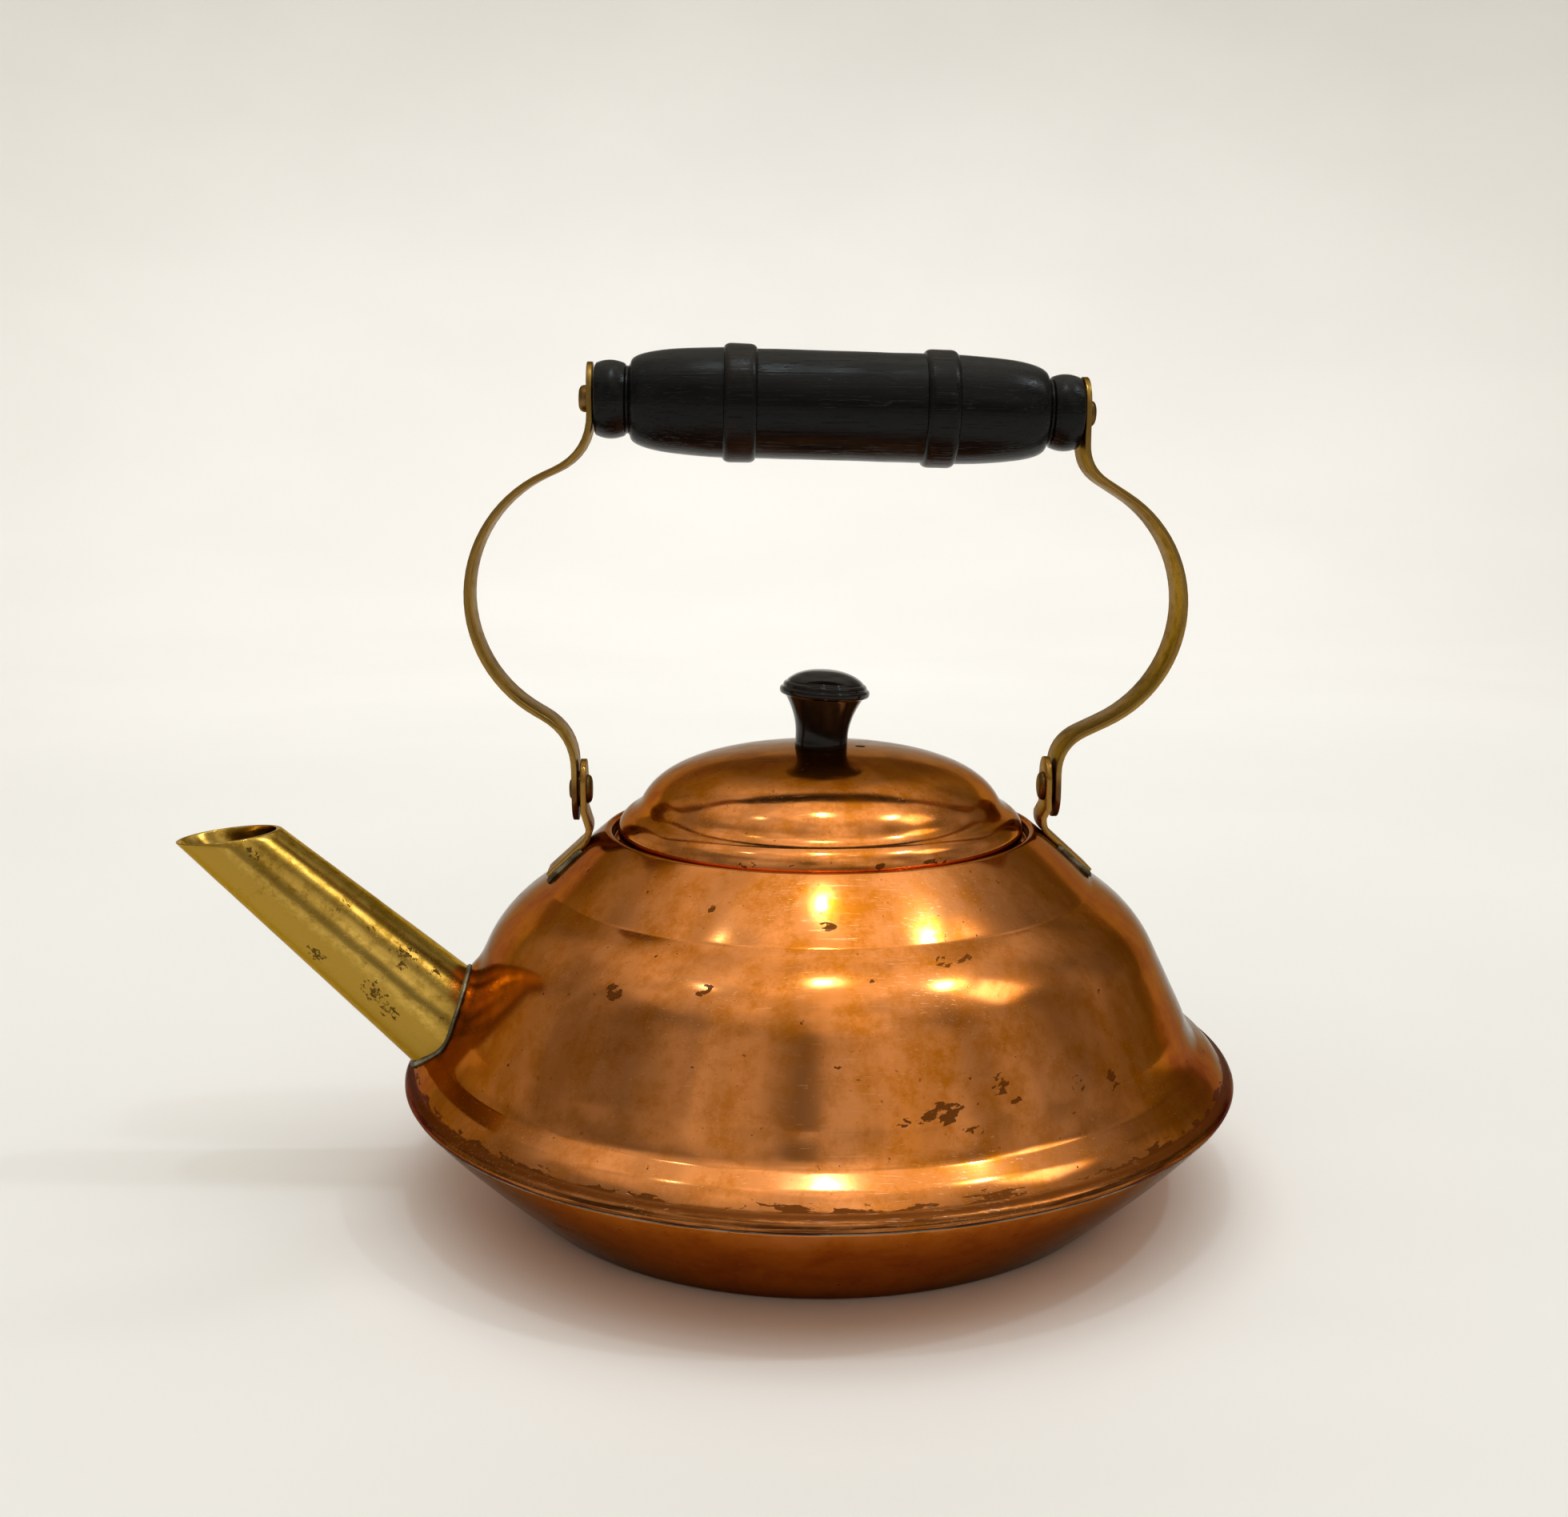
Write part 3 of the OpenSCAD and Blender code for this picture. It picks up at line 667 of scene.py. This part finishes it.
lip_c = (RECESS_R + LIP_R, LIP_Z0)
lip_from = (atan2(STEP_Z - lip_c[1], STEP_R - lip_c[0])
            + acos(LIP_R / hypot(STEP_R - lip_c[0], STEP_Z - lip_c[1])))
lip = [(lip_c[0] + LIP_R * cos(a), lip_c[1] + LIP_R * sin(a))
       for a in (lip_from + (pi - lip_from) * i / 12 for i in range(13))]
rim = [(RIM_R - 2.2, SEAM_Z), (RIM_R - 0.5, SEAM_Z), (RIM_R, SEAM_Z + 0.9),
       (RIM_R - 0.4, SEAM_Z + 1.8), (RIM_R - 1.2, SEAM_Z + 2.5)]
neck = lip + [(RECESS_R, SEAT_Z), (MOUTH_R + 0.8, SEAT_Z),
              (MOUTH_R, SEAT_Z - 0.8), (MOUTH_R, SEAT_Z - NECK_D)]
middle = [(a + b) / 2 + 0.35 for a, b in zip(wall[-1], lip[0])]
swell = curve(wall[-1], middle, lip[0], 14)[1:-1]       # the cone is very slightly domed
shell_outline = rim + wall + swell + neck


def dents(r, z, a):
    """Slight unevenness of spun copper, nothing at the seam and the seat."""
    depth, size = 0.16, 38
    keep = min(1, max(0, (z - 30) / 8)) * min(1, max(0, (76 - z) / 5))
    at = Vector((cos(a) * r, sin(a) * r, z)) / size
    return depth * keep * noise.noise(at)


def off_spout(p):
    """Distance of a point from the outside of the spout's cone, below zero inside it."""
    v = Vector(p) - SPOUT_AT
    t = v.dot(SPOUT_AXIS)
    return (v - t * SPOUT_AXIS).length - (SPOUT_R - TAPER * t)


def to_spout(p, normal):
    """The point moved along the wall until it lies on the spout's cone."""
    p = Vector(p)
    for _ in range(4):
        v = p - SPOUT_AT
        t = v.dot(SPOUT_AXIS)
        away = (v - t * SPOUT_AXIS).normalized()
        along = (away - away.dot(normal) * normal)
        if along.length < 1e-6:
            break
        p -= off_spout(p) / max(along.length, 0.3) * along.normalized()
    return p


def collar(p):
    """How far the wall is pulled out along the spout, close to the spout."""
    pull, reach = 1.4, 2.8
    above = 0.65 + 0.35 * min(1, max(-1, (p[2] - WALL_LOW[1]) / 14))      # more at the top
    return pull * above * exp(-(max(off_spout(p), 0) / reach) ** 2)


def make_shell():
    outer = filled_in(rounded(shell_outline, 0.55), 1.2)
    inner = filled_in(rounded(moved(shell_outline, SHEET), 0.3), 1.6)
    path = outer + inner[::-1]
    bm = grid(turned(path, BODY_SIDES, dents), True, split=len(outer) - 1)
    # the part of the wall round the spout, clear of the seam
    near = {v for v in bm.verts if v.co.x < -60 and abs(v.co.y) < 40 and v.co.z > SEAM_Z + 0.6}
    for v in near:
        v.co += WALL_OUT * collar(v.co)
    gone = [f for f in bm.faces
            if all(v in near for v in f.verts) and off_spout(f.calc_center_median()) < 0]
    cut_hole(bm, gone, lambda p: to_spout(p, WALL_OUT))
    piece("shell", bm, "kettle", ["upper_shell"], [shell_copper, tinned])


def make_pan():
    flare = curve((BASE_R, 0.1), (88.4, 16.6), (RIM_R - 1, SEAM_Z - 0.5), 40)
    outline = [(0, 0), (BASE_R - 1, 0)] + flare + [(RIM_R - 1.1, SEAM_Z)]
    outer, inner = rounded(outline, 0.8), moved(outline, SHEET)
    inner = rounded([(0, SHEET)] + inner[1:-1] + [(inner[-1][0], SEAM_Z)], 0.8)
    outer, inner = filled_in(outer, 3), filled_in(inner, 3)
    bm = grid(turned(outer + inner[::-1], BODY_SIDES), False, split=len(outer) - 1)
    piece("pan", bm, "kettle", ["base_pan"], [pan_copper, tinned])


# ---- Spout ----

def spout_point(u, t, inset=0.0):
    r = SPOUT_R - TAPER * t - inset
    return SPOUT_AT + SPOUT_AXIS * t + (SPOUT_SIDE * cos(u) + SPOUT_ACROSS * sin(u)) * r


def at_wall(u, inset, depth):
    """How far along the spout its surface comes out of the wall, moved in by depth."""
    low, high = -20.0, 25.0
    for _ in range(40):
        t = (low + high) / 2
        p = spout_point(u, t, inset)
        if hypot(p.x, p.y) < radius_at(wall_from, p.z) - depth:
            low = t
        else:
            high = t
    return low


def at_mouth(u, inset):
    """How far along the spout its surface meets the sloping mouth."""
    normal = by_spout(-sin(MOUTH_SLOPE), 0, cos(MOUTH_SLOPE))
    lip_at = by_spout(-LIP_X, 0, LIP_Z)
    side = (SPOUT_SIDE * cos(u) + SPOUT_ACROSS * sin(u)).dot(normal)
    fixed = (SPOUT_AT - lip_at).dot(normal) + (SPOUT_R - inset) * side
    return -fixed / (SPOUT_AXIS.dot(normal) - TAPER * side)


def make_spout():
    rows_along = 44
    turns = [2 * pi * k / SPOUT_SIDES for k in range(SPOUT_SIDES)]
    rows = []
    for inset, order in ((0.0, range(rows_along + 1)), (TUBE_T, range(rows_along, -1, -1))):
        for i in order:
            row = []
            for u in turns:
                low, high = at_wall(u, inset, SHEET + 0.4), at_mouth(u, inset) - 0.35
                t = low + (high - low) * i / rows_along
                rub = 0.05 * noise.noise(Vector((cos(u), sin(u), t / 14)) * 1.6)
                row.append(spout_point(u, t, inset - rub))
            rows.append(row)
        if inset == 0.0:
            for dip, edge in ((0.12, 0.08), (0.0, 0.3), (0.0, TUBE_T - 0.3), (0.12, TUBE_T - 0.08)):
                rows.append([spout_point(u, at_mouth(u, edge) - dip, edge) for u in turns])
    piece("spout", grid(rows, True), "kettle", ["spout_tube"], [spout_brass], 50)


def make_spout_solder():
    """Uneven bead round the spout, thicker underneath."""
    wire_sides = 12
    rows = []
    for j in range(wire_sides):
        b = 2 * pi * j / wire_sides
        row = []
        for k in range(BEAD_SIDES):
            u = 2 * pi * k / BEAD_SIDES
            t = at_wall(u, 0.0, 0.0)
            t += collar(spout_point(u, t)) + 0.2
            centre = spout_point(u, t, -0.05)
            lump = 1 + 0.30 * noise.noise(Vector((3.1 * cos(u), 3.1 * sin(u), 0.4 * cos(b))) * 2.2)
            lump *= 1 + 0.7 * max(0, -cos(u)) ** 3
            away = SPOUT_SIDE * cos(u) + SPOUT_ACROSS * sin(u)
            row.append(centre + (away * cos(b) * 0.6 + SPOUT_AXIS * sin(b) * 0.5) * lump)
        rows.append(row)
    piece("spout_bead", grid(rows, True), "kettle", ["spout_solder"], [solder], 80)


# ---- Lid and knob ----

def make_lid():
    z0 = SEAT_Z + LID_GAP
    bead = [(LID_R - 1.2, z0), (LID_R - 0.2, z0 + 0.4), (LID_R, z0 + 1.3)]
    side = curve((LID_R, z0 + 2.1), (LID_R - 0.1, CREASE[1] - 1.7),
                 (CREASE[0] + 0.6, CREASE[1] - 0.1), 20)
    dome = curve((CREASE[0] - 0.4, CREASE[1] + 0.5), (37.5, LID_TOP - 1.1), (7, LID_TOP), 44)
    outline = bead + eased(side, CREASE, dome, 1.9)
    outer = filled_in(rounded(outline, 0.7) + [(SCREW_R, LID_TOP)], 0.9)
    inner = filled_in(rounded(moved(outline, LID_T), 0.4) + [(SCREW_R, LID_TOP - LID_T)], 1.3)
    bm = grid(turned(outer + inner[::-1], LID_SIDES), True, split=len(outer) - 1)
    near = {v for v in bm.verts if hypot(v.co.x - VENT_X, v.co.y) < 4}
    gone = [f for f in bm.faces if all(v in near for v in f.verts)
            and hypot(f.calc_center_median().x - VENT_X, f.calc_center_median().y) < VENT_R]

    def to_vent(p):
        d = Vector((p.x - VENT_X, p.y)).normalized() * VENT_R
        return Vector((VENT_X + d.x, d.y, p.z))
    cut_hole(bm, gone, to_vent)
    piece("lid", bm, "lid", ["lid_dome"], [lid_copper, tinned])


def make_knob():
    z, cap = LID_TOP, LID_TOP + KNOB_H
    outline = [(SCREW_R, z - KNOB_SUNK), (KNOB_FOOT, z - KNOB_SUNK)]
    outline += curve((KNOB_FOOT, z + 0.6), (KNOB_FOOT - 0.4, z + 6), (9, cap - 6.2), 24)
    outline += curve((9.3, cap - 6), (KNOB_R, cap - 5.9), (KNOB_R, cap - 5.1), 8)
    outline += curve((KNOB_R, cap - 4.8), (KNOB_R, cap - 4.2), (KNOB_R - 0.7, cap - 4.1), 6)
    outline += curve((KNOB_R - 0.7, cap - 3.8), (KNOB_R - 0.8, cap - 3.1), (KNOB_R - 1.6, cap - 2.9), 6)
    outline += curve((KNOB_R - 1.7, cap - 2.6), (KNOB_R - 4.5, cap), (0, cap), 24)
    path = rounded(outline, 0.35) + [(0, z + 9), (SCREW_R, z + 9)]
    foot_edge = Matrix.Translation((KNOB_FOOT, 0, z))
    leaning = foot_edge @ Matrix.Rotation(KNOB_LEAN, 4, "Y") @ foot_edge.inverted()
    bm = grid(turned(path, KNOB_SIDES), True, matrix=leaning)
    piece("knob_turned", bm, "lid", ["knob"], [bakelite])


# ---- Grip ----

def make_grip():
    end = GRIP_L / 2
    bead_in = end - 7
    ring_out, ring_in = RING_X + RING_W / 2, RING_X - RING_W / 2
    half = [(ROD_R, end), (BEAD_R - 1.4, end)]
    half += curve((BEAD_R - 0.9, end - 0.3), (BEAD_R + 0.5, end - 3.5), (BEAD_R - 0.9, bead_in + 0.3), 18)
    half += [(BEAD_R - 1.4, bead_in), (BEAD_R - 1.4, bead_in - 0.5)]
    half += curve((BEAD_R - 0.6, bead_in - 0.9), (GRIP_R - 0.5, bead_in - 1.2), (GRIP_R, ring_out), 30)
    half += curve((RING_R - 0.9, ring_out), (RING_R - 0.1, ring_out - 0.3), (RING_R, ring_out - 1.6), 6)
    half += curve((RING_R, ring_in + 1.6), (RING_R - 0.1, ring_in + 0.3), (RING_R - 0.9, ring_in), 6)
    half += [(GRIP_R, ring_in)]
    outline = half + [(r, -z) for r, z in half[::-1]]
    path = filled_in(rounded(outline, 0.85, 6), 1.5)

    def hand_turned(r, z, a):
        if r < BEAD_R - 2:
            return 0
        return 0.09 * noise.noise(Vector((cos(a), sin(a), z / 9)) * 1.3)
    place = (Matrix.Translation((LEAN, 0, HINGE_Z + GRIP_RISE))
             @ Matrix.Rotation(GRIP_TILT, 4, "Y") @ Matrix.Rotation(pi / 2, 4, "Y"))
    bm = grid(turned(path, GRIP_SIDES, hand_turned), True, matrix=place)
    piece("grip_turned", bm, "grip", ["grip"], [wood])


# ---- Solder at the lugs ----

def make_lug_solder(node):
    """The CAD pad melted into a soft, uneven puddle."""
    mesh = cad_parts[node].data.copy()
    mesh.transform(Matrix.Scale(1 / MM, 4))
    source = new_object(node + "_source", mesh)
    remesh = source.modifiers.new("remesh", "REMESH")
    remesh.mode, remesh.voxel_size = "VOXEL", 0.22
    smooth = source.modifiers.new("smooth", "SMOOTH")
    smooth.factor, smooth.iterations = 0.5, 5
    graph = bpy.context.evaluated_depsgraph_get()
    result = bpy.data.meshes.new_from_object(source.evaluated_get(graph))
    bpy.data.objects.remove(source)
    bm = bmesh.new()
    bm.from_mesh(result)
    bm.normal_update()
    for v in bm.verts:
        v.co += v.normal * 0.22 * noise.noise(v.co / 1.9)
    piece(node + "_puddle", bm, "kettle", [node], [solder], 180)


make_shell()
make_pan()
make_spout()
make_spout_solder()
make_lid()
make_knob()
make_grip()
for side in ("left", "right"):
    make_lug_solder("lug_solder_" + side)
    refined("lug_" + side, "kettle", lug_brass, 0.18)
    refined("strap_" + side, "bail", strap_brass, 0.2)
    refined("pivot_rivet_" + side, "kettle", dark_brass, 0.1)
    refined("pivot_washer_" + side, "kettle", dark_brass, 0.1)
refined("grip_rod", "bail", dark_brass, 0.1)
refined("knob_screw", "lid", steel, 0.1)
refined("knob_washer", "lid", dark_brass, 0.1)
refined("lid_collar", "lid", tinned, 0.1)
refined("seam_solder", "kettle", dark_solder, 0.03)

# ---- Studio ----

FLOOR_RINGS, FLOOR_SIDES, RING_STEP = 25, 96, 0.1
SWEEP_FROM, SWEEP_REACH, SWEEP_RISE = 1.1, 1.4, 0.9
NEUTRAL_LIGHT, WARM_LIGHT = (0.98, 0.985, 1.0), (1.0, 0.95, 0.88)
LAMP_LIGHT, GLOW_LIGHT = (0.74, 0.90, 1.0), (0.80, 0.92, 1.0)
ROOM_COLOR = (1.0, 0.93, 0.78, 1)
LAMP_SIZE, GLOW_SIZE, GLOW_SHARE = 0.055, 0.26, 0.15

# Darker and lighter patches of the room: heading to the right of the front, half width, rise and
# half height, all in degrees, and the change in brightness.
ROOM_PATCHES = [(-9, 5, 30, 9, -0.60), (17, 9, 32, 22, 0.20), (50, 5, 30, 22, -0.40),
                (84, 5, 26, 14, -0.25), (-70, 26, 18, 24, -0.36), (79, 10, 47, 7, 6.0),
                (9, 14, 6, 8, -0.35)]


def make_floor():
    """Pale floor that sweeps up behind the kettle."""
    look = Look("floor")
    tone = look.step(look.noise(3, 3, 0.5), 0.3, 0.7)
    color = look.mixed(tone, (0.80, 0.795, 0.785), (0.83, 0.825, 0.815))
    rows = [[(0, 0, 0)]]
    for ring in range(1, FLOOR_RINGS + 1):
        r = RING_STEP * ring
        row = []
        for k in range(FLOOR_SIDES):
            a = 2 * pi * k / FLOOR_SIDES
            behind = min(1, max(0, (sin(a) - 0.60) / 0.20))
            swept = (max(0, r - SWEEP_FROM) / SWEEP_REACH) ** 2
            lift = SWEEP_RISE * swept * behind * behind * (3 - 2 * behind)
            row.append((r * cos(a), r * sin(a), lift))
        rows.append(row)
    floor = new_object("floor", smooth_mesh("floor", grid(rows, False), [look.finish(color, 0.0, 0.6)]))
    floor.location.z = -0.00002          # just below the base, so that the two don't flicker


def area_light(name, at, size, power, color, look_at=(0, 0, 0.07), tall=None, glossy=True):
    data = bpy.data.lights.new(name, "AREA")
    data.shape = "RECTANGLE" if tall else "DISK"
    data.size = size
    if tall:
        data.size_y = tall
    data.energy = power
    data.color = color
    light = new_object(name, data)
    light.location = at
    light.visible_glossy = glossy
    light.rotation_euler = (Vector(look_at) - Vector(at)).to_track_quat("-Z", "Y").to_euler()


def make_world():
    """Dim warm room, brighter in front, overhead and on the spout's side, with soft uprights."""
    world = bpy.data.worlds.new("studio")
    bpy.context.scene.world = world
    world.use_nodes = True
    look = Nodes(world.node_tree, "Generated")
    x, y, z = look.parts(look.place)
    light = look.times(look.step(y, -0.80, -0.15, 0.27, 0.0), look.step(z, 0.0, 0.36, 0.1, 1.0))
    for part in (look.step(z, 0.55, 0.97, 0.0, 0.55), look.step(x, -0.9, -0.3, 0.12, 0.0), 0.25):
        light = look.plus(light, part)
    uprights = look.noise(1, 3, 0.5, look.stretched(3.4, 3.4, 0.5))
    clouds = look.noise(2.2, 3, 0.6)
    light = look.times(light, look.step(uprights, 0.34, 0.62, 0.72, 1.18))
    light = look.times(light, look.step(clouds, 0.3, 0.7, 0.8, 1.15))
    heading = look.math("ARCTAN2", x, look.times(y, -1.0))
    rise = look.math("ARCSINE", z)
    for at, wide, up, tall, change in ROOM_PATCHES:
        off = look.amount(look.minus(heading, radians(at)))
        on = look.amount(look.minus(rise, radians(up)))
        patch = look.times(look.step(off, radians(wide - 2), radians(wide + 2), 1.0, 0.0),
                           look.step(on, radians(tall - 3), radians(tall + 3), 1.0, 0.0))
        light = look.times(light, look.plus(1.0, look.times(patch, change)))
    back = world.node_tree.nodes["Background"]
    look.feed(back.inputs["Color"], ROOM_COLOR)
    look.feed(back.inputs["Strength"], light)


CAMERA_AT = (-0.02406, -0.3934, 0.1672)
CAMERA_TURN, CAMERA_DOWN, CAMERA_ROLL = radians(-3.5), radians(9.82), radians(0.28)


def make_camera():
    """The photograph's viewing angle: from near the grip's height, a little to the spout's side."""
    data = bpy.data.cameras.new("camera")
    data.sensor_width = 36
    data.lens = 39.49
    data.shift_x = -0.0235
    data.clip_start = 0.01
    camera = new_object("camera", data)
    camera.matrix_world = (Matrix.Translation(CAMERA_AT)
                           @ Matrix.Rotation(CAMERA_TURN, 4, "Z")
                           @ Matrix.Rotation(pi / 2 - CAMERA_DOWN, 4, "X")
                           @ Matrix.Rotation(CAMERA_ROLL, 4, "Z"))
    bpy.context.scene.camera = camera


make_floor()
make_world()
make_camera()
area_light("ceiling", (0.1, -0.1, 1.5), 1.2, 1.2, WARM_LIGHT, tall=1.0)
for name, at, power in (("lamp_left", (0.0, -0.25, 1.4), 1.1), ("lamp_right", (0.68, -0.25, 1.3), 1.5),
                        ("lamp_far", (-0.68, -0.27, 1.4), 0.16)):
    area_light(name, at, LAMP_SIZE, power, LAMP_LIGHT)
    area_light(name + "_glow", (at[0], at[1], at[2] + 0.02), GLOW_SIZE, GLOW_SHARE * power, GLOW_LIGHT)
area_light("fill", (0.0, -0.2, 1.6), 1.6, 9.5, NEUTRAL_LIGHT, tall=1.6, glossy=False)
area_light("backdrop", (0.0, 0.9, 1.3), 0.9, 10, NEUTRAL_LIGHT, look_at=(0, 1.9, 0.2), glossy=False)

bpy.context.scene.view_settings.view_transform = "Standard"
